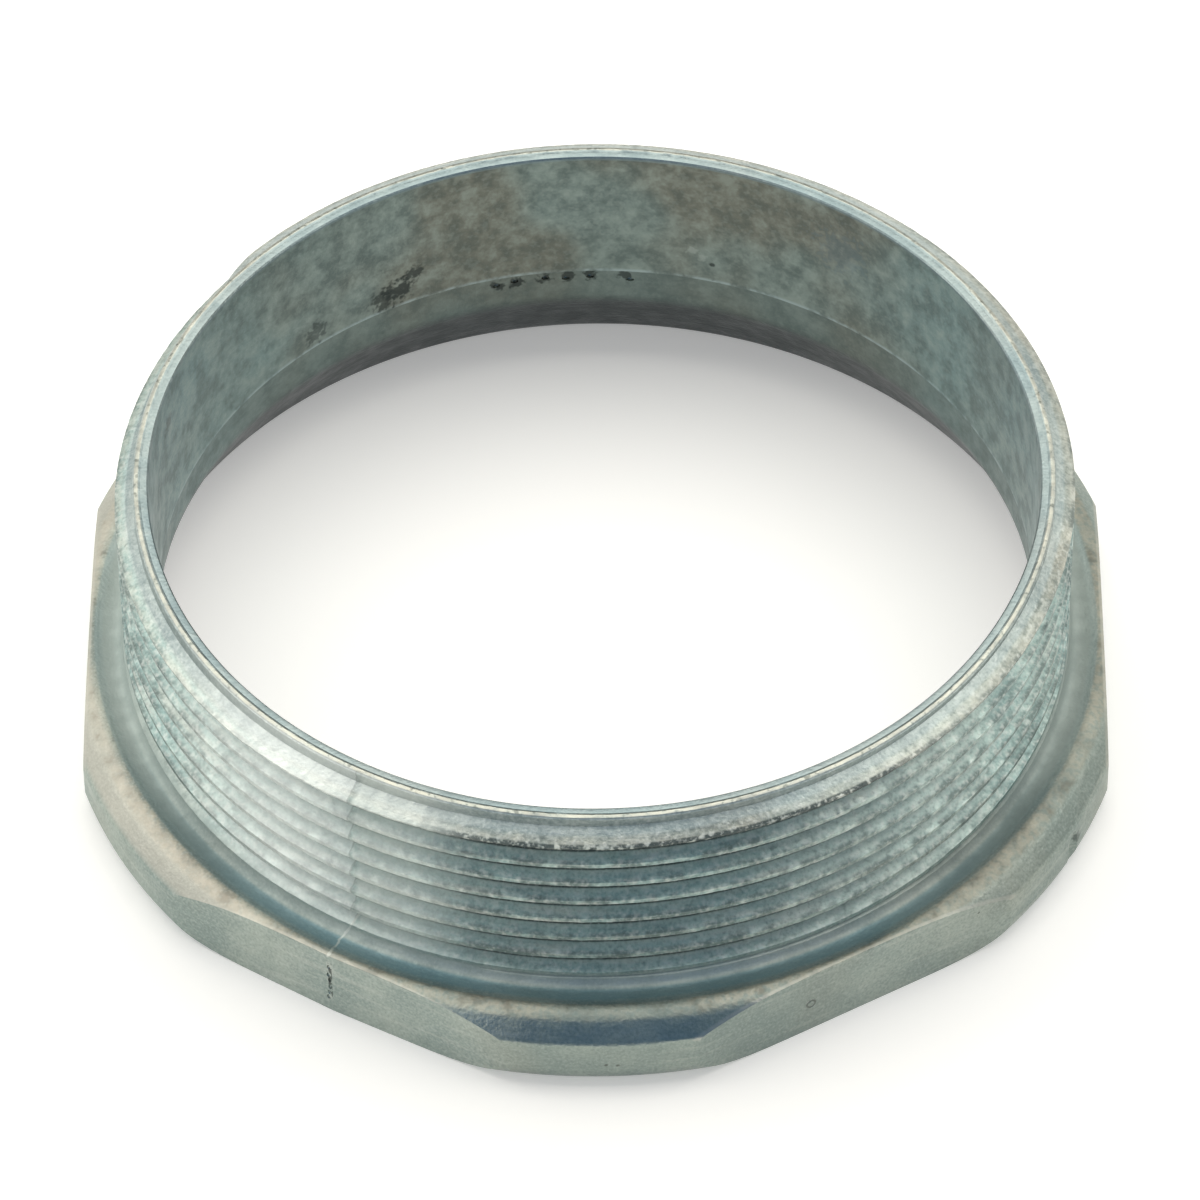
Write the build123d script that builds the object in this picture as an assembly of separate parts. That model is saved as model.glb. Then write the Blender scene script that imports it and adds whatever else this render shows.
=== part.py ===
from build123d import *
import math
import os

os.makedirs("parts", exist_ok=True)

# Driving sizes, in millimetres and degrees
total_height = 35.9
head_height = 9.8
head_overhang = 7.75
flat_depth = 3.58
corner_blend = 12.0
head_top_round = 3.2
head_bottom_round = 2.9
seat_land_width = 0.6
rest_land_width = 0.5

# Trade size 4, eight threads to the inch. The turns stand as separate rings, without their rise
thread_pitch = 25.4 / 8.0
thread_major_radius = 56.7
thread_depth = 2.3
thread_crest_flat = 0.55
thread_shoulder_depth = 2.5
thread_flank_angle = 30.0
neck_fillet = 1.5
dish_depth = 0.33

rim_land = 1.3
rim_bevel = 0.5
rim_edge_break = 0.3

# Two cores meet inside the bore, with a small mismatch where they part
bore_draft = 0.4
parting_height = 16.5
parting_step = 0.25
throat_round = 4.0
flare_angle = 28.0
mouth_round = 4.5

# What the head's outline leaves clear of the thread when the flats are cut
head_cut_margin = 1.0

# Radii that follow, outwards from the thread
corner_radius = thread_major_radius + head_overhang
across_flats = 2.0 * (corner_radius - flat_depth)
rest_outer_radius = corner_radius - head_bottom_round
rest_inner_radius = rest_outer_radius - rest_land_width
seat_outer_radius = corner_radius - head_top_round
seat_inner_radius = seat_outer_radius - seat_land_width
dish_inner_radius = thread_major_radius + neck_fillet

# Radii that follow, inwards from the thread
thread_root_radius = thread_major_radius - thread_depth
rim_inner_radius = thread_root_radius - rim_land
bore_top_radius = rim_inner_radius - rim_bevel
bore_parting_radius = bore_top_radius - bore_draft
throat_radius = bore_parting_radius + parting_step

# Heights that follow
thread_shoulder_height = total_height - thread_shoulder_depth
collar_foot_height = thread_shoulder_height + thread_depth * math.tan(math.radians(thread_flank_angle))
groove_half_width = (thread_pitch - thread_crest_flat) / 2.0
groove_depth = groove_half_width / math.tan(math.radians(thread_flank_angle))
dish_floor = head_height - dish_depth
neck_top = dish_floor + neck_fillet

# As many turns as the length between the neck and the shoulder takes, with the shoulder's own
thread_turns = 1 + math.floor((thread_shoulder_height - neck_top) / thread_pitch)


def on_circle(centre_r, centre_z, radius, degrees):
    """A point of the section on a circle, the angle counted from outwards towards up."""
    a = math.radians(degrees)
    return (centre_r + radius * math.cos(a), centre_z + radius * math.sin(a))


def short_runs(centre_r, centre_z, radius, start, end, count):
    """A rounding drawn in straight runs, so short that they leave the true curve by 0.05 mm at most."""
    step = (end - start) / count
    return [on_circle(centre_r, centre_z, radius, start + step * i) for i in range(count + 1)]


# The mouth is rounded until it leans as the flare does, and the flare runs straight up to the throat,
# where the wall is rounded over again so that it can't cut a cable
flare_slope = math.tan(math.radians(flare_angle))
mouth_runs = short_runs(rest_inner_radius, mouth_round, mouth_round, 180.0 + flare_angle, 270.0, 4)
flare_foot = mouth_runs[0]
throat_corner_height = flare_foot[1] + (flare_foot[0] - throat_radius) / flare_slope
throat_foot_height = throat_corner_height + throat_round * math.tan(math.radians(flare_angle / 2.0))
throat_centre_radius = throat_radius + throat_round
throat_runs = short_runs(throat_centre_radius, throat_foot_height, throat_round, 180.0, 180.0 + flare_angle, 2)

# Both rims of the head are rounded before the flats cut them
bottom_middle = on_circle(rest_outer_radius, head_bottom_round, head_bottom_round, -45.0)
top_runs = short_runs(seat_outer_radius, head_height - head_top_round, head_top_round, 0.0, 90.0, 6)

# The neck runs out of the dish into the foot of the thread
neck_runs = short_runs(dish_inner_radius, neck_top, neck_fillet, 270.0, 180.0, 3)

# The grooves between the turns are counted down from the thread's shoulder
thread_outline = []
for turn in reversed(range(1, thread_turns)):
    crest_top = thread_shoulder_height - turn * thread_pitch
    groove_middle = crest_top + groove_half_width
    thread_outline += [
        (thread_major_radius, crest_top),
        (thread_major_radius - groove_depth, groove_middle),
        (thread_major_radius, groove_middle + groove_half_width),
    ]

# One section through the wall of the casting, turned once round the axis
with BuildPart() as casting:
    with BuildSketch(Plane.XZ):
        with BuildLine():
            Line((rest_inner_radius, 0.0), (rest_outer_radius, 0.0))
            ThreePointArc((rest_outer_radius, 0.0), bottom_middle, (corner_radius, head_bottom_round))
            Line((corner_radius, head_bottom_round), (corner_radius, head_height - head_top_round))
            Polyline(*top_runs)
            Line((seat_outer_radius, head_height), (seat_inner_radius, head_height))
            Line((seat_inner_radius, head_height), (dish_inner_radius, dish_floor))
            Polyline(
                *neck_runs,
                *thread_outline,
                (thread_major_radius, thread_shoulder_height),
                (thread_root_radius, collar_foot_height),
                (thread_root_radius, total_height - rim_edge_break),
                (thread_root_radius - rim_edge_break, total_height),
                (rim_inner_radius, total_height),
                (bore_top_radius, total_height - rim_bevel),
                (bore_parting_radius, parting_height),
                (throat_radius, parting_height),
                *throat_runs,
                *mouth_runs,
            )
        make_face()
    revolve(axis=Axis.Z, revolution_arc=360.0)

# Six flats with softened joins to the round corners, cut only out of the head
head_limit = neck_top + head_cut_margin
with BuildPart() as chase_nipple:
    with BuildSketch():
        Circle(corner_radius)
        RegularPolygon(across_flats / 2.0, 6, major_radius=False, rotation=30.0, mode=Mode.INTERSECT)
        fillet(vertices(), corner_blend)
    extrude(amount=head_limit)
    with BuildSketch(Plane.XY.offset(head_limit)):
        Circle(thread_major_radius + head_cut_margin)
    extrude(amount=total_height)
    add(casting.part, mode=Mode.INTERSECT)

export_step(chase_nipple.part, "parts/chase_nipple.step")
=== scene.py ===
import math

import bpy
from mathutils import Matrix, Vector, noise


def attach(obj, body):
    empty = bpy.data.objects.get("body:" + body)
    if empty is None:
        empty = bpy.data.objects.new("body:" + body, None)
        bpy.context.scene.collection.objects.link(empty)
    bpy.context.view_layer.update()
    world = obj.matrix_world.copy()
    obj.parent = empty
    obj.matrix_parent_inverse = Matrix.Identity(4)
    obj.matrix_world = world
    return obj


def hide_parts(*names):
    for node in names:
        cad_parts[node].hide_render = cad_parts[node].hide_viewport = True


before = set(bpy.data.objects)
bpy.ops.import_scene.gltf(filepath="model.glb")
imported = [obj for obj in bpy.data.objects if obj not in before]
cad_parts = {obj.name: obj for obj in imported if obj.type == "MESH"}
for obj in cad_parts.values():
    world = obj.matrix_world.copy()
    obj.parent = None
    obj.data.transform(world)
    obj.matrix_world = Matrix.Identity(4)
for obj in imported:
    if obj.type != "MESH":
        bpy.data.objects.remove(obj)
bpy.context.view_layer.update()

# Chase nipple: one die casting in zinc alloy, with its hexagon head, neck, thread, bore and flared
# mouth all in one. It came out of a die that parts in a vertical plane, with two cores that met in
# the bore. The wall is drawn ring by ring, and the flats and the thread are then cut into it.
mm = 0.001
columns = 720
casting_height = 35.9
crest_radius = 56.7
collar_radius = 54.4
rest_inner_radius = 61.05
rim_inner_radius = 52.6
rim_inner_height = 35.3
bore_draft = 0.4
drafted_height = 18.8
parting_height = 16.5
throat_radius = 52.45


def arc(centre_r, centre_z, radius, start, end, steps):
    """Points of the wall's section on a circle, without the first, as radius and height."""
    angles = [math.radians(start + (end - start) * i / steps) for i in range(1, steps + 1)]
    return [(centre_r + radius * math.cos(a), centre_z + radius * math.sin(a)) for a in angles]


# The wall's section as radius and height: up the outside, over the rim, down the bore, round the mouth
outside = [(61.55, 0.0)]
outside += arc(61.53, 2.9, 2.9, -90, 0, 9)
outside += [(64.43, 4.8), (64.43, 6.65)]
outside += arc(63.03, 6.65, 1.4, 0, 46, 5)
outside += [(63.45, 8.17), (62.85, 8.72), (62.35, 9.12), (62.0, 9.33), (61.6, 9.5), (61.15, 9.66)]
outside += [(60.75, 9.77), (60.4, 9.8), (60.1, 9.77), (59.8, 9.7), (59.3, 9.58), (58.7, 9.49), (58.2, 9.47)]
outside += arc(58.2, 10.97, 1.5, 270, 180, 7)
outside += [(crest_radius, 34.1)]
rim = [(collar_radius, 35.6), (54.27, 35.74), (54.1, 35.8), (53.9, 35.84), (53.7, 35.78), (53.55, 35.7)]
rim += [(53.1, 35.72), (52.8, 35.66), (52.63, 35.5), (rim_inner_radius, rim_inner_height)]
bore = []
for height in (32.0, 28.8, 25.6, 22.4, 19.4, 16.75):
    bore.append((rim_inner_radius - bore_draft * (rim_inner_height - height) / drafted_height, height))
bore += [(52.2, parting_height), (throat_radius, 16.45), (throat_radius, 14.4), (throat_radius, 12.35)]
bore += arc(throat_radius + 4.0, 12.276, 4.0, 180, 208, 4)
mouth_foot = arc(rest_inner_radius, 4.5, 4.5, 180, 208, 1)[0]
flare_start = bore[-1]
for share in (0.33, 0.67, 1.0):
    bore.append(tuple(a + (b - a) * share for a, b in zip(flare_start, mouth_foot)))
mouth = arc(rest_inner_radius, 4.5, 4.5, 208, 270, 10)[:-1]

bpy.ops.object.select_all(action="DESELECT")
bpy.ops.mesh.primitive_circle_add(vertices=columns, radius=rest_inner_radius * mm)
nipple = bpy.context.object
nipple.name = "nipple_casting"
bpy.ops.object.mode_set(mode="EDIT")
bpy.ops.mesh.select_all(action="SELECT")
ring = (rest_inner_radius, 0.0)
for radius, height in outside + rim + bore + mouth:
    rise = Vector((0, 0, (height - ring[1]) * mm))
    bpy.ops.mesh.extrude_region_move(TRANSFORM_OT_translate={"value": rise})
    widen = radius / ring[0]
    bpy.ops.transform.resize(value=(widen, widen, 1), center_override=(0, 0, height * mm))
    ring = (radius, height)
bpy.ops.mesh.select_all(action="DESELECT")
bpy.ops.mesh.select_non_manifold(use_multi_face=False, use_non_contiguous=False, use_verts=False)
bpy.ops.mesh.bridge_edge_loops()
bpy.ops.mesh.select_all(action="SELECT")
bpy.ops.mesh.normals_make_consistent(inside=False)
bpy.ops.object.mode_set(mode="OBJECT")

# The flash that was trimmed off the rim left a rough line round it
flash_radius = 53.95
flash_reach = 0.45
flash_roughness = 0.11
for vertex in nipple.data.vertices:
    co = vertex.co / mm
    radius = math.hypot(co.x, co.y)
    if co.z > 35.55 and 53.62 < radius < 54.35:
        rough = noise.noise(co * 0.9) + 0.6 * noise.noise(co * 2.3)
        fade = 1 - abs(radius - flash_radius) / flash_reach
        co.z = min(co.z + flash_roughness * rough * fade, casting_height)
        vertex.co = co * mm


def outwards(azimuth):
    """The level direction at an azimuth in degrees, counted from the right of the photo."""
    a = math.radians(azimuth)
    return Vector((math.cos(a), math.sin(a), 0))


# The six flats. The one the die parts through is drafted both ways from the seam
seam_azimuth = -120.0
seam_draft = 1.8
flat_distance = 60.86
seam_flat_distance = 61.07
flats = [(a, a, flat_distance) for a in (0.0, 60.0, 120.0, 180.0, -60.0)]
flats += [(seam_azimuth + lean, seam_azimuth, seam_flat_distance) for lean in (-seam_draft, seam_draft)]
bpy.ops.object.mode_set(mode="EDIT")
for facing_azimuth, azimuth, distance in flats:
    out = outwards(facing_azimuth)
    on_plane = outwards(azimuth) * distance * mm
    bpy.ops.mesh.select_all(action="SELECT")
    bpy.ops.mesh.bisect(plane_co=on_plane, plane_no=out, clear_outer=True, use_fill=True, threshold=1e-7)
bpy.ops.object.mode_set(mode="OBJECT")


def cut_away(body):
    """Cuts a body out of the casting and removes it."""
    bpy.ops.object.select_all(action="DESELECT")
    bpy.context.view_layer.objects.active = nipple
    nipple.select_set(True)
    bpy.ops.object.modifier_add(type="BOOLEAN")
    cut = nipple.modifiers[-1]
    cut.object = body
    cut.operation = "DIFFERENCE"
    cut.solver = "MANIFOLD"
    bpy.ops.object.modifier_apply(modifier=cut.name)
    bpy.data.objects.remove(body)


# The thread: eight grooves to the inch, right hand, of sixty degrees. Its lowest turn starts as a
# scratch beside the seam and deepens, and its last one opens into the smooth collar under the rim.
# The crests are ragged, as the die left them.
pitch = 3.175
half_angle_slope = math.tan(math.radians(30))
full_depth = 2.15
scratch_depth = 0.12
scratch_height = 10.62
deepening = 0.866
root_flat = 0.12
over = 0.42
lip = over * half_angle_slope
clearance = 0.4
above_rim = 37.0
open_root = 54.45
open_drop = 0.32

# How far the crests and roots are ragged, from the depth that is ragged in full
ragged_crest = 0.06
ragged_first_crest = 0.09
ragged_root = 0.05
ragged_depth = 0.8

# Along the helix, in degrees from where it has its height at zero
groove_start = -107.0
height_at_zero = 13.77
first_turn = -360.0
ragged_from = 2057.0
top_turn = 2417.0
last_turn = 2757.0
run_in = 7.0
run_out = 12.0
ragged_over = 60.0
step_angle = 360.0 / columns
steps = round((last_turn - first_turn) / step_angle)
bpy.ops.object.select_all(action="DESELECT")
bpy.ops.mesh.primitive_circle_add(vertices=4, radius=mm)
cutter = bpy.context.object
cutter.name = "thread_groove"
bpy.ops.object.modifier_add(type="SCREW")
screw = cutter.modifiers[-1]
screw.angle = math.radians(last_turn - first_turn)
screw.screw_offset = pitch * (last_turn - first_turn) / 360 * mm
screw.steps = steps
screw.render_steps = steps
screw.use_merge_vertices = False
bpy.ops.object.modifier_apply(modifier=screw.name)
for index, vertex in enumerate(cutter.data.vertices):
    step, corner = divmod(index, 4)
    t = first_turn + step * step_angle
    a = math.radians(groove_start + t)
    upper = height_at_zero + pitch * t / 360
    depth = min(full_depth, max(deepening * (upper - scratch_height), scratch_depth))
    half = depth * half_angle_slope
    root = crest_radius - depth
    radius, height = [
        (crest_radius + over, upper + lip),
        (root, upper - half),
        (root, upper - half - root_flat),
        (crest_radius + over, upper - 2 * half - root_flat - lip),
    ][corner]
    point = Vector((math.cos(a) * crest_radius, math.sin(a) * crest_radius, height))
    rag = noise.noise(point * 1.1) + 0.7 * noise.noise(point * 0.35)
    first_lip = min(max((t - ragged_from) / ragged_over, 0), 1)
    if corner in (0, 3):
        height += rag * (ragged_crest + ragged_first_crest * first_lip) * min(depth / ragged_depth, 1)
    else:
        radius += rag * ragged_root * min(depth / ragged_depth, 1)
    if t < first_turn + run_in:
        radius += (1 - (t - first_turn) / run_in) * clearance
    lift = min(max((t - top_turn + run_out) / run_out, 0), 1)
    if corner in (0, 1):
        height += (above_rim - height) * lift
    else:
        height -= open_drop * lift
    if corner == 0:
        radius += clearance * lift
    if corner in (1, 2):
        radius += (open_root - radius) * lift
    vertex.co = Vector((radius * math.cos(a), radius * math.sin(a), height)) * mm
bpy.ops.object.mode_set(mode="EDIT")
bpy.ops.mesh.select_all(action="DESELECT")
bpy.ops.mesh.select_non_manifold(use_multi_face=False, use_non_contiguous=False, use_verts=False)
bpy.ops.mesh.fill_holes(sides=0)
bpy.ops.mesh.select_all(action="SELECT")
bpy.ops.mesh.normals_make_consistent(inside=False)
bpy.ops.object.mode_set(mode="OBJECT")
cut_away(cutter)

# A dent on one corner, a pitted line where the seam crosses the flat, and pits under the bore's
# ledge: azimuth, radius of the pit's middle, height, half width, half depth and half height
pits = [(-29.0, 65.3, 3.4, 1.4, 1.7, 3.7)]
for height in (2.2, 3.1, 4.1, 5.3, 6.2, 7.6):
    pits.append((-120.5 + 0.12 * math.sin(5 * height), 61.2, height, 0.22, 0.4, 0.42))
pits.append((-108.4, 60.9, 4.4, 0.25, 0.3, 0.2))
for azimuth in (103.7, 101.2, 97.0, 94.2, 90.9, 85.5):
    pits.append((azimuth, 52.5, 15.1 + 0.3 * math.sin(3 * azimuth), 0.5, 0.4, 0.3))
bpy.ops.object.select_all(action="DESELECT")
for azimuth, distance, height, width, depth, tall in pits:
    middle = (outwards(azimuth) * distance + Vector((0, 0, height))) * mm
    spin = (0, 0, math.radians(azimuth))
    bpy.ops.mesh.primitive_ico_sphere_add(subdivisions=3, radius=mm, location=middle, rotation=spin)
    bpy.context.object.scale = (depth, width, tall)
    bpy.ops.object.transform_apply(location=True, rotation=True, scale=True)
    if azimuth == pits[0][0]:
        picks = bpy.context.object
    else:
        picks.select_set(True)
        bpy.context.view_layer.objects.active = picks
        bpy.ops.object.join()
cut_away(picks)

# The slivers that the cuts left are closed up, and the flats are shaded flat
sliver = 0.001 * mm
head_height = 9.8
bpy.ops.object.mode_set(mode="EDIT")
bpy.ops.mesh.select_all(action="SELECT")
bpy.ops.mesh.remove_doubles(threshold=sliver)
bpy.ops.mesh.dissolve_degenerate(threshold=sliver)
bpy.ops.object.mode_set(mode="OBJECT")
bpy.ops.object.shade_smooth_by_angle(angle=math.radians(17))
for facing_azimuth, azimuth, distance in flats:
    out = outwards(facing_azimuth)
    for face in nipple.data.polygons:
        if face.normal.dot(out) > 0.99995 and face.center.z < head_height * mm:
            face.use_smooth = False

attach(nipple, "root")
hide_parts("chase_nipple")

# Zinc alloy die casting, as cast and never plated: a dull silver skin, cool grey where the die was
# smooth, warmer and speckled where it dragged or was trimmed, and browner inside, with painted shade
# darkening the bore. It is bare metal with a thin oxide, so it is metallic, with a broad soft gloss.
zinc = bpy.data.materials.new("zinc_die_casting")
zinc.use_nodes = True
tree = zinc.node_tree
shader = tree.nodes["Principled BSDF"]


def linear(code):
    """An sRGB hex colour as the linear colour that a shader takes."""
    parts = [int(code[i : i + 2], 16) / 255 for i in (0, 2, 4)]
    return [p / 12.92 if p <= 0.04045 else ((p + 0.055) / 1.055) ** 2.4 for p in parts] + [1.0]


def add(kind, inputs, output=0, **settings):
    """Adds a node with its settings and what its inputs take, and gives the output that is used."""
    made = tree.nodes.new("ShaderNode" + kind)
    for name, value in settings.items():
        setattr(made, name, value)
    for name, value in inputs.items():
        if isinstance(value, bpy.types.NodeSocket):
            tree.links.new(value, made.inputs[name])
        else:
            made.inputs[name].default_value = value
    return made.outputs[output]


position = add("TexCoord", {}, output="Object")
place = add("VectorMath", {0: position, "Scale": 1000.0}, operation="SCALE")
place_x = add("SeparateXYZ", {0: place}, output=0)
place_y = add("SeparateXYZ", {0: place}, output=1)
place_z = add("SeparateXYZ", {0: place}, output=2)
spoke = add("VectorMath", {0: place, 1: (1, 1, 0)}, operation="MULTIPLY")
from_axis = add("VectorMath", {0: spoke}, output="Value", operation="LENGTH")
facing = add("NewGeometry", {}, output="Normal")
spoke_out = add("VectorMath", {0: spoke}, operation="NORMALIZE")
lean_out = add("VectorMath", {0: facing, 1: spoke_out}, output="Value", operation="DOT_PRODUCT")
facing_up = add("SeparateXYZ", {0: facing}, output=2)

# Clouds 14 and 19 mm wide, mottle of 3 mm, speckle of 0.8 mm, the grain of the cast skin, and
# streaks that run round the casting
clouds = add("TexNoise", {"Vector": place, "Scale": 1 / 14, "Detail": 2.0, "Roughness": 0.6})
warm_clouds = add("TexNoise", {"Vector": place, "Scale": 1 / 19, "Detail": 2.0}, noise_dimensions="4D")
mottle = add("TexNoise", {"Vector": place, "Scale": 1 / 3, "Detail": 3.0, "Roughness": 0.65})
speckle = add("TexNoise", {"Vector": place, "Scale": 1 / 0.8, "Detail": 1.5, "Roughness": 0.6})
grain = add("TexNoise", {"Vector": place, "Scale": 1 / 0.36, "Detail": 1.0, "Roughness": 0.6})
flow_place = add("VectorMath", {0: place, 1: (0.07, 0.07, 1.1)}, operation="MULTIPLY")
flow = add("TexNoise", {"Vector": flow_place, "Scale": 1.0, "Detail": 3.0, "Roughness": 0.6})


def soft_step(value, low, high, start=0.0, end=1.0):
    """A soft step of a value, from start at low to end at high."""
    given = {"Value": value, "From Min": low, "From Max": high, "To Min": start, "To Max": end}
    return add("MapRange", given, interpolation_type="SMOOTHSTEP")


def both(first, second):
    """Where two masks hold together."""
    return add("Math", {0: first, 1: second}, operation="MULTIPLY")


def part_of(mask, share):
    """A mask that only reaches a share."""
    return soft_step(mask, 0.0, 1.0, 0.0, share)


def tint(below, colour, share):
    """A colour laid over another by a mask."""
    return add("Mix", {0: share, 6: below, 7: colour}, output=2, data_type="RGBA")


to_side = soft_step(add("Math", {0: place_x}, operation="ABSOLUTE"), 26.0, 50.0)
inside = both(soft_step(lean_out, 0.02, -0.12), soft_step(facing_up, 0.5, 0.2))
outward = soft_step(lean_out, -0.3, -0.15)
on_thread = both(soft_step(place_z, 10.4, 11.4), soft_step(lean_out, 0.15, 0.4))
on_head = both(soft_step(place_z, 9.9, 9.2), outward)
smooth = soft_step(on_head, 0.0, 1.0, 1.0, 0.5)

colour = tint(linear("87938F"), linear("AEB4AA"), soft_step(clouds, 0.36, 0.64))
colour = tint(colour, linear("ACA494"), soft_step(warm_clouds, 0.52, 0.7, 0.0, 0.45))
colour = tint(colour, linear("5F6C6A"), both(smooth, soft_step(mottle, 0.5, 0.3, 0.0, 0.42)))
colour = tint(colour, linear("C4C4B6"), both(smooth, soft_step(mottle, 0.55, 0.75, 0.0, 0.45)))
colour = tint(colour, linear("A1B0A8"), part_of(on_head, 0.5))
colour = tint(colour, linear("C3C8BF"), both(on_head, soft_step(flow, 0.54, 0.68, 0.0, 0.35)))
colour = tint(colour, linear("9FC3C0"), both(on_thread, soft_step(place_z, 33.5, 33.0, 0.0, 0.55)))

# Streaks that follow the turns and brighter speckled crests, with painted light on the flanks near the
# roots and painted shade deep in the roots
colour = tint(colour, linear("C9CCC2"), both(on_thread, soft_step(flow, 0.52, 0.7, 0.0, 0.6)))
colour = tint(colour, linear("55625F"), both(on_thread, soft_step(flow, 0.46, 0.32, 0.0, 0.45)))
rubbed = both(both(soft_step(place_x, 14.0, 28.0), soft_step(place_x, 50.0, 38.0)), on_thread)
colour = tint(colour, linear("CFDAD2"), part_of(rubbed, 0.35))
crest = both(soft_step(from_axis, 56.1, 56.6), soft_step(place_z, 11.0, 12.5))
colour = tint(colour, linear("5F6B69"), both(crest, soft_step(mottle, 0.66, 0.42, 0.0, 0.7)))
bright_speck = both(on_thread, soft_step(speckle, 0.46, 0.74, 0.0, 0.5))
colour = tint(colour, linear("D3D8D2"), bright_speck)
colour = tint(colour, linear("596765"), both(on_thread, soft_step(speckle, 0.48, 0.26, 0.0, 0.4)))
# Painted light on the flank towards each root, then painted shade at the root's bottom, where the ridge
# above shades it
root = both(on_thread, soft_step(from_axis, 56.2, 55.2))
colour = tint(colour, linear("C6CFCD"), both(root, soft_step(place_z, 34.0, 32.5, 0.0, 0.5)))
root = both(on_thread, soft_step(from_axis, 55.5, 55.25))
colour = tint(colour, linear("252D2E"), both(root, soft_step(place_z, 34.0, 32.5, 0.0, 0.85)))

# The first flank under the collar: pale and smooth above, warm and rough towards its ragged lip, with
# painted shade along the lip in front
first_flank = both(soft_step(place_z, 32.0, 32.6), soft_step(lean_out, 0.2, 0.4))
colour = tint(colour, linear("A8B8BA"), both(first_flank, soft_step(from_axis, 55.7, 55.2, 0.0, 0.45)))
rough_lip = both(first_flank, soft_step(mottle, 0.4, 0.6, 0.3, 1.0))
colour = tint(colour, linear("B9B6A8"), both(rough_lip, soft_step(from_axis, 55.5, 56.2, 0.0, 0.36)))
# Painted shade along the first crest's lip, in front only
lip_shade = both(first_flank, both(soft_step(speckle, 0.66, 0.5), soft_step(from_axis, 56.2, 56.45)))
in_front = both(soft_step(place_x, -24.0, -14.0), soft_step(place_y, -36.0, -48.0, 0.0, 0.85))
lip_shade = both(lip_shade, in_front)
colour = tint(colour, linear("343E3F"), lip_shade)

# Fine grain all over the skin
colour = tint(colour, linear("66726E"), soft_step(grain, 0.5, 0.28, 0.0, 0.24))
colour = tint(colour, linear("CBD2CC"), soft_step(grain, 0.5, 0.72, 0.0, 0.26))

# Dish and neck: a smooth skin, dull with oxide where nothing rubs it, its colour painted with reflections:
# bluish all round, greyer away from the front, paler towards the back, and a painted highlight on the neck
dish = both(both(soft_step(from_axis, 60.4, 59.6), soft_step(place_z, 11.4, 10.4)), outward)
away_from_front = soft_step(place_y, -52.0, -30.0)
# Painted blue reflection in the dish, greyer away from the front and paler towards the back; the lighter
# neck is a painted highlight
colour = tint(colour, linear("789DA8"), both(dish, soft_step(from_axis, 57.4, 58.0, 0.0, 0.7)))
grey_dish = both(both(dish, away_from_front), soft_step(from_axis, 57.4, 58.0, 0.0, 0.7))
colour = tint(colour, linear("8D9791"), grey_dish)
pale_dish = both(dish, soft_step(place_y, -36.0, -16.0, 0.0, 0.7))
colour = tint(colour, linear("B9C2BC"), pale_dish)
colour = tint(colour, linear("B9C6C1"), both(dish, soft_step(from_axis, 57.9, 57.3, 0.0, 0.55)))
bead = both(soft_step(from_axis, 60.0, 60.5), soft_step(from_axis, 62.6, 61.9))
bead = both(bead, soft_step(facing_up, 0.6, 0.75))
# Painted shade on the bead, darker from the far left towards the right
colour = tint(colour, linear("75837E"), both(bead, soft_step(place_x, -48.0, -16.0, 0.05, 0.55)))
bead_warmth = both(bead, soft_step(warm_clouds, 0.38, 0.58, 0.25, 1.0))
colour = tint(colour, linear("D8C6AC"), both(bead_warmth, soft_step(speckle, 0.3, 0.6, 0.05, 0.26)))
colour = tint(colour, linear("7A786C"), both(bead, soft_step(mottle, 0.46, 0.3, 0.0, 0.5)))
# Painted warm highlight on the seat at the left, under the softbox
seat_highlight = both(soft_step(from_axis, 60.2, 61.4), soft_step(facing_up, 0.3, 0.6))
seat_highlight = both(seat_highlight, soft_step(place_z, 7.0, 8.0))
colour = tint(colour, linear("C2B9AB"), both(seat_highlight, soft_step(place_x, -22.0, -46.0, 0.0, 0.5)))

# Painted shade on the head, darker on the right and over the front corner
shade_right_painted = both(soft_step(place_x, 16.0, 48.0), both(soft_step(place_z, 11.4, 10.4), outward))
colour = tint(colour, linear("6A6F66"), part_of(shade_right_painted, 0.18))
shade_front_painted = both(on_head, both(soft_step(place_x, -16.0, -6.0), soft_step(place_x, 40.0, 20.0)))
colour = tint(colour, linear("5C6A66"), part_of(shade_front_painted, 0.3))

# Painted highlight where each flat meets the top of the head
hexagon = None
for azimuth in (0.0, 60.0, 120.0):
    given = {0: place, 1: outwards(azimuth)}
    reach = add("VectorMath", given, output="Value", operation="DOT_PRODUCT")
    reach = add("Math", {0: reach}, operation="ABSOLUTE")
    hexagon = add("Math", {0: reach, 1: hexagon}, operation="MAXIMUM") if hexagon else reach
edge_highlight = both(soft_step(hexagon, 60.35, 60.7), soft_step(facing_up, 0.1, 0.35))
edge_highlight = both(edge_highlight, soft_step(place_z, 6.0, 7.0))
colour = tint(colour, linear("BDBCB2"), part_of(edge_highlight, 0.5))

# The inside: browner and mottled, cooler at its sides, with painted shade darkening it all, more below the
# ledge and most deep down in the bore, and a painted highlight along the ledge
# Painted shade darkening the whole inside
colour = tint(colour, linear("697975"), both(inside, soft_step(clouds, 0.3, 0.7, 0.78, 0.92)))
colour = tint(colour, linear("6C6759"), both(inside, soft_step(warm_clouds, 0.4, 0.58, 0.0, 0.6)))
colour = tint(colour, linear("74989A"), both(inside, part_of(to_side, 0.5)))
colour = tint(colour, linear("4B5754"), both(inside, soft_step(mottle, 0.56, 0.34, 0.0, 0.42)))
colour = tint(colour, linear("94A29B"), both(inside, soft_step(mottle, 0.48, 0.7, 0.0, 0.32)))
colour = tint(colour, linear("9CA9A2"), both(inside, soft_step(speckle, 0.46, 0.68, 0.0, 0.16)))
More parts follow.
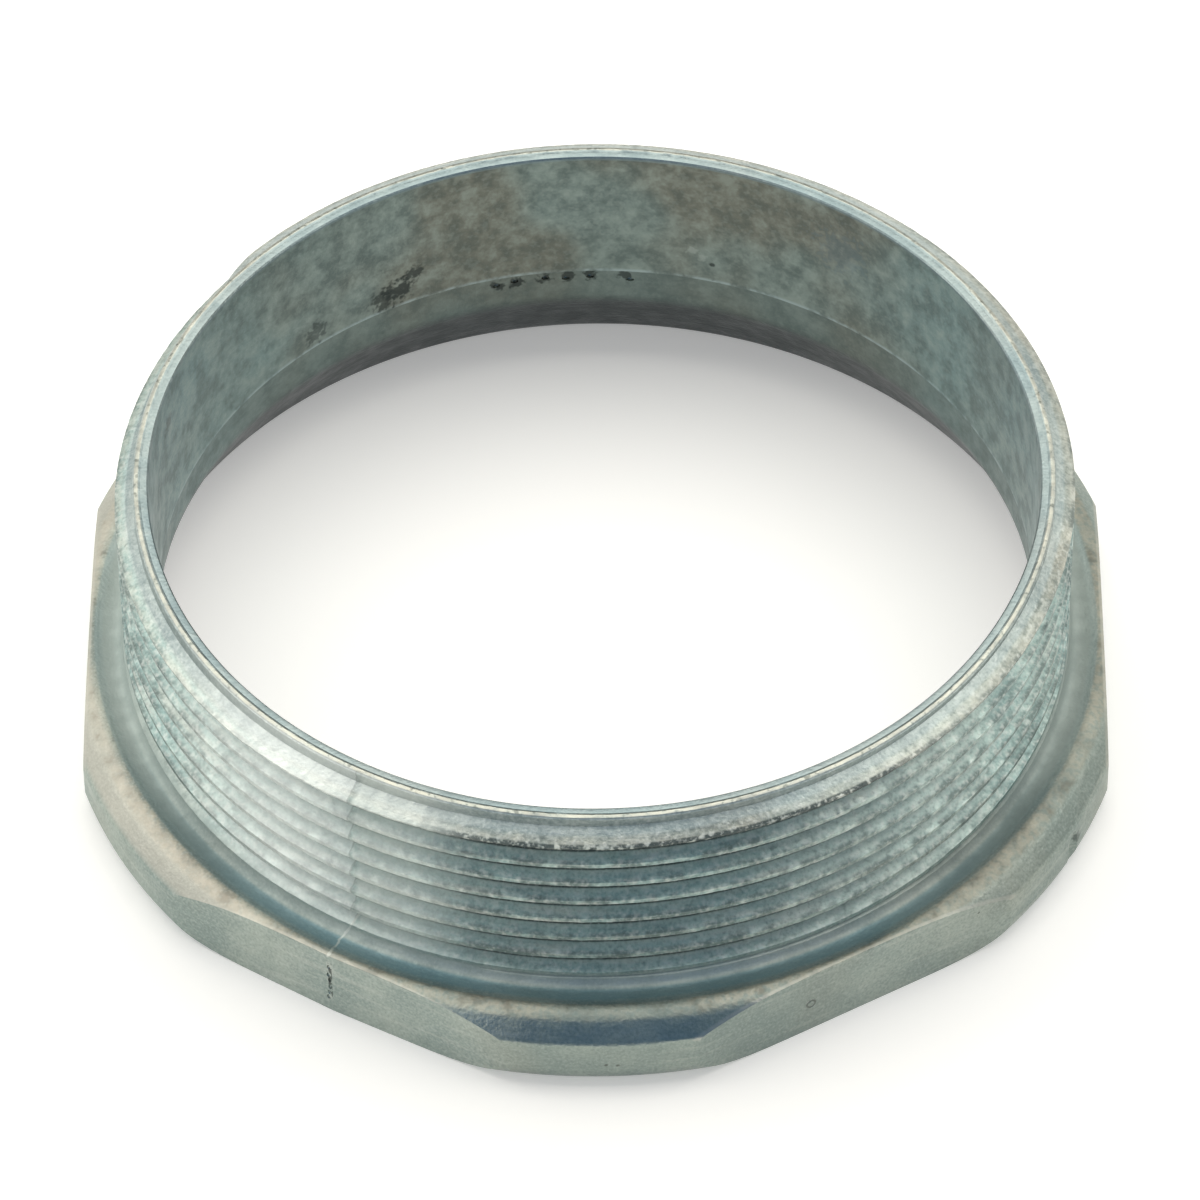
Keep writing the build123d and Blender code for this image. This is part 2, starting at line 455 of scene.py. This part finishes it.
# Painted shade below the ledge, a painted highlight along it, and painted shade deep down in the bore
ledge = both(inside, both(soft_step(place_z, 16.1, 16.4), soft_step(place_z, 17.1, 16.6)))
colour = tint(colour, linear("5E6C69"), both(inside, soft_step(place_z, 16.5, 16.3, 0.0, 0.45)))
colour = tint(colour, linear("9FB0B2"), both(ledge, soft_step(mottle, 0.36, 0.6, 0.1, 0.6)))
painted_throat_shade = both(inside, soft_step(place_z, 12.5, 9.5, 0.0, 0.95))
colour = tint(colour, linear("2A3434"), painted_throat_shade)

# Stains, pits and pale rubs in the bore and on the flats: place and size in mm, colour and share
fray = add("Math", {0: mottle, 1: 1.2, 2: 0.0}, operation="MULTIPLY_ADD")
fray = add("Math", {0: speckle, 1: 2.0, 2: fray}, operation="MULTIPLY_ADD")
for x, y, z, size, code, share in (
    (-24.4, 46.4, 19.4, 2.7, "2F3735", 0.85),
    (-22.6, 47.2, 21.0, 1.9, "2F3735", 0.8),
    (-26.6, 45.2, 18.2, 2.1, "2F3735", 0.7),
    (-34.3, 39.4, 18.7, 2.0, "38413F", 0.6),
    # Painted shade: the dark marks in the pits under the ledge
    (-12.3, 50.8, 15.1, 1.2, "232A29", 0.75),
    (-9.8, 51.2, 15.3, 1.3, "232A29", 0.8),
    (-6.4, 51.9, 15.3, 1.2, "232A29", 0.75),
    (-3.6, 52.1, 15.4, 1.2, "232A29", 0.75),
    (-0.8, 52.3, 15.4, 1.2, "232A29", 0.75),
    (3.4, 52.1, 15.5, 1.1, "232A29", 0.7),
    (14.2, 50.3, 19.3, 0.6, "2F3735", 0.8),
    (11.8, 51.1, 21.2, 0.9, "A3ADA7", 0.4),
    (13.1, 50.7, 20.4, 0.8, "A3ADA7", 0.35),
    (29.8, 43.1, 28.2, 4.5, "6A7F86", 0.3),
    (-50.7, 12.7, 30.5, 1.7, "3F4845", 0.6),
    (56.9, -30.2, 4.6, 1.1, "4A524F", 0.6),
    (44.8, -44.4, 7.3, 0.35, "5B605A", 0.8),
    (1.3, -64.4, 3.9, 0.35, "5B605A", 0.8),
    (2.6, -64.3, 3.8, 0.3, "5B605A", 0.8),
    (-27.9, -49.4, 13.3, 0.55, "2C3433", 0.9),
):
    away = add("VectorMath", {0: place, 1: (x, y, z)}, output="Value", operation="DISTANCE")
    ragged = add("Math", {0: fray, 1: size, 2: away}, operation="MULTIPLY_ADD")
    mark = soft_step(ragged, size * 2.5, size * 2.0, 0.0, share)
    colour = tint(colour, linear(code), mark)
away = add("VectorMath", {0: place, 1: (25.1, -55.8, 4.5)}, output="Value", operation="DISTANCE")
circle = both(soft_step(away, 0.35, 0.5), soft_step(away, 0.75, 0.55))
colour = tint(colour, linear("5F655E"), part_of(circle, 0.7))

# The parting seam: the thread beside it is painted paler, most to its left, as a painted reflection of the
# softbox; a hairline follows it down to a pale drag mark in the dish, and a pitted line marks it on the
# flat
across_seam = {0: place, 1: (0.866, -0.5, 0)}
towards_seam = {0: place, 1: (-0.5, -0.866, 0)}
beside = add("VectorMath", across_seam, output="Value", operation="DOT_PRODUCT")
before = add("VectorMath", towards_seam, output="Value", operation="DOT_PRODUCT")
before = both(soft_step(before, 30.0, 42.0), outward)
wander = add("Math", {0: speckle, 1: 0.5, 2: -0.45}, operation="MULTIPLY_ADD")
beside = add("Math", {0: beside, 1: wander})
off_seam = add("Math", {0: beside}, operation="ABSOLUTE")
# Painted light on the thread on both sides of the seam
seam_left_painted_light = both(both(soft_step(beside, 0.25, -0.15), soft_step(beside, -34.0, -8.0)), before)
seam_left_painted_light = both(seam_left_painted_light, on_thread)
colour = tint(colour, linear("E3E8E4"), both(seam_left_painted_light, soft_step(beside, 0.0, -8.0, 0.5, 0.6)))
seam_right_painted_light = both(both(soft_step(beside, 20.0, 3.0), soft_step(beside, -0.8, 1.6)), both(before, on_thread))
colour = tint(colour, linear("D9E0DA"), part_of(seam_right_painted_light, 0.58))
hairline = both(both(soft_step(off_seam, 0.16, 0.06), before), on_thread)
colour = tint(colour, linear("49524F"), part_of(hairline, 0.25))
slant = add("Math", {0: place_z, 1: -0.437, 2: 4.95}, operation="MULTIPLY_ADD")
drag = add("Math", {0: add("Math", {0: beside, 1: slant})}, operation="ABSOLUTE")
low_down = both(soft_step(place_z, 9.2, 9.5), soft_step(place_z, 13.2, 12.8))
drag = both(both(soft_step(drag, 0.25, 0.05), before), low_down)
colour = tint(colour, linear("DDE0D8"), part_of(drag, 0.5))
on_flat = both(soft_step(place_z, 8.8, 8.3), soft_step(place_z, 1.4, 1.9))
on_flat = both(on_flat, before)
off_mark = add("Math", {0: add("Math", {0: beside, 1: 0.5})}, operation="ABSOLUTE")
mark_rim = both(both(soft_step(off_mark, 0.6, 0.3), on_flat), soft_step(mottle, 0.4, 0.55))
mark_pit = both(both(soft_step(off_mark, 0.38, 0.15), on_flat), soft_step(speckle, 0.42, 0.52))
colour = tint(colour, linear("C9CDC5"), part_of(mark_rim, 0.4))
colour = tint(colour, linear("454B46"), part_of(mark_pit, 0.85))

# Rim: its inner lip is smooth and bluish, and the trimmed flash line is rough and warm, dark in places
lip_inside = both(soft_step(place_z, 35.1, 35.35), soft_step(from_axis, 53.95, 53.75))
colour = tint(colour, linear("76878B"), part_of(lip_inside, 0.68))
flash = both(soft_step(from_axis, 53.7, 53.9), soft_step(from_axis, 54.4, 54.2))
flash = both(flash, soft_step(place_z, 35.3, 35.5))
colour = tint(colour, linear("A9A99D"), both(flash, soft_step(speckle, 0.35, 0.65, 0.45, 0.8)))
colour = tint(colour, linear("4A4F4B"), both(flash, soft_step(speckle, 0.44, 0.3, 0.0, 0.55)))

tree.links.new(colour, shader.inputs["Base Color"])
metal = add("Math", {0: on_thread, 1: -0.14, 2: 0.86}, operation="MULTIPLY_ADD")
tree.links.new(metal, shader.inputs["Metallic"])
gloss = soft_step(mottle, 0.3, 0.7, 0.43, 0.33)
gloss = add("Math", {0: on_thread, 1: 0.12, 2: gloss}, operation="MULTIPLY_ADD")
gloss = add("Math", {0: on_head, 1: -0.05, 2: gloss}, operation="MULTIPLY_ADD")
gloss = add("Math", {0: dish, 1: 0.22, 2: gloss}, operation="MULTIPLY_ADD")
gloss = add("Math", {0: bead, 1: 0.12, 2: gloss}, operation="MULTIPLY_ADD")
dull_sides = both(to_side, both(soft_step(place_z, 11.4, 10.4), outward))
gloss = add("Math", {0: dull_sides, 1: 0.17, 2: gloss}, operation="MULTIPLY_ADD")
tree.links.new(gloss, shader.inputs["Roughness"])

# Relief in mm: the grain of the skin, its speckle and slow waves a few millimetres long
waves = add("TexNoise", {"Vector": place, "Scale": 1 / 5, "Detail": 1.0})
relief = add("Math", {0: grain, 1: 0.03, 2: 0.0}, operation="MULTIPLY_ADD")
relief = add("Math", {0: speckle, 1: 0.035, 2: relief}, operation="MULTIPLY_ADD")
relief = add("Math", {0: mottle, 1: 0.05, 2: relief}, operation="MULTIPLY_ADD")
relief = add("Math", {0: waves, 1: 0.08, 2: relief}, operation="MULTIPLY_ADD")
relief = add("Math", {0: flow, 1: 0.05, 2: relief}, operation="MULTIPLY_ADD")
relief = add("Math", {0: circle, 1: -0.10, 2: relief}, operation="MULTIPLY_ADD")
skin = add("Bump", {"Height": relief, "Distance": mm, "Strength": 1.0})
tree.links.new(skin, shader.inputs["Normal"])

nipple.data.materials.clear()
nipple.data.materials.append(zinc)


def shown():
    """Where a surface is seen straight, mirrored or through something clear."""
    seen = add("LightPath", {}, output="Is Camera Ray")
    mirrored = add("LightPath", {}, output="Is Glossy Ray")
    through = add("LightPath", {}, output="Is Transmission Ray")
    either = add("Math", {0: seen, 1: mirrored}, operation="MAXIMUM")
    return add("Math", {0: either, 1: through}, operation="MAXIMUM")


# Floor of white paper, which the camera and the metal see nearly white, with the casting's shadow
bpy.ops.object.select_all(action="DESELECT")
bpy.ops.mesh.primitive_plane_add(size=12.0)
floor = bpy.context.object
floor.name = "studio_floor"
paper = bpy.data.materials.new("white_paper")
paper.use_nodes = True
paper.cycles.emission_sampling = "NONE"
tree = paper.node_tree
sheet = tree.nodes["Principled BSDF"]
sheet.inputs["Base Color"].default_value = linear("F2F2F0")
sheet.inputs["Roughness"].default_value = 0.9
sheet.inputs["Specular IOR Level"].default_value = 0.0
sheet.inputs["Emission Color"].default_value = (1.0, 1.0, 1.0, 1.0)
lifted = add("Math", {0: shown(), 1: 0.3}, operation="MULTIPLY")
tree.links.new(lifted, sheet.inputs["Emission Strength"])
floor.data.materials.append(paper)

# Cards beside the light, which only the metal sees: a deep blue one on the camera's side, between
# the horizon and the softbox, and grey ones low at the back and at the right
blue_corners = ((-0.72, -1.2, 0.04), (1.35, -1.2, 0.04), (-0.22, -0.33, 0.96), (0.65, -0.33, 0.96))
back_corners = ((-1.3, 1.6, 0.02), (1.3, 1.6, 0.02), (-0.7, 1.25, 0.8), (0.7, 1.25, 0.8))
right_corners = ((1.7, -0.9, 0.02), (1.7, 1.3, 0.02), (1.35, -0.5, 0.8), (1.35, 0.9, 0.8))
for name, corners, code in (
    ("blue_card", blue_corners, "4D749A"),
    ("back_card", back_corners, "8A8C88"),
    ("right_card", right_corners, "8B918D"),
):
    bpy.ops.object.select_all(action="DESELECT")
    bpy.ops.mesh.primitive_plane_add(size=1.0)
    card = bpy.context.object
    card.name = name
    for vertex, corner in zip(card.data.vertices, corners):
        vertex.co = corner
    board = bpy.data.materials.new(name)
    board.cycles.emission_sampling = "NONE"
    board.use_nodes = True
    tree = board.node_tree
    tree.nodes.remove(tree.nodes["Principled BSDF"])
    light = add("Emission", {"Color": linear(code), "Strength": 1.0})
    tree.links.new(light, tree.nodes["Material Output"].inputs["Surface"])
    card.data.materials.append(board)
    card.visible_camera = False
    card.visible_diffuse = False
    card.visible_shadow = False
    card.visible_transmission = False

# Light: a pale room, and one broad softbox overhead, a little warm
if not bpy.context.scene.world:
    bpy.context.scene.world = bpy.data.worlds.new("studio")
world = bpy.context.scene.world
world.use_nodes = True
tree = world.node_tree
level = soft_step(shown(), 0.0, 1.0, 0.4, 1.0)
background = tree.nodes["Background"]
background.inputs["Color"].default_value = (1.0, 1.0, 1.0, 1.0)
tree.links.new(level, background.inputs["Strength"])

softbox_size = (2.7, 1.12)
radiance = 1.9
bpy.ops.object.light_add(type="AREA", location=(-0.15, 0.44, 0.9))
soft = bpy.context.object
soft.data.shape = "RECTANGLE"
soft.data.size = softbox_size[0]
soft.data.size_y = softbox_size[1]
soft.data.energy = radiance * math.pi * softbox_size[0] * softbox_size[1]
soft.data.color = (1.0, 0.96, 0.89)
soft.visible_camera = False

# Camera
camera_data = bpy.data.cameras.new("camera")
camera = bpy.data.objects.new("camera", camera_data)
bpy.context.scene.collection.objects.link(camera)
camera_data.lens = 255.0
camera_data.sensor_width = 36.0
camera_data.clip_end = 20
aim = Matrix.Rotation(math.radians(0.585), 4, "Z") @ Matrix.Rotation(math.radians(42.50), 4, "X")
aim = aim @ Matrix.Rotation(math.radians(-0.61), 4, "Z")
camera.matrix_world = Matrix.Translation(Vector((7.53, -688.11, 764.13)) * mm) @ aim
bpy.context.scene.camera = camera
bpy.context.scene.view_settings.view_transform = "Standard"
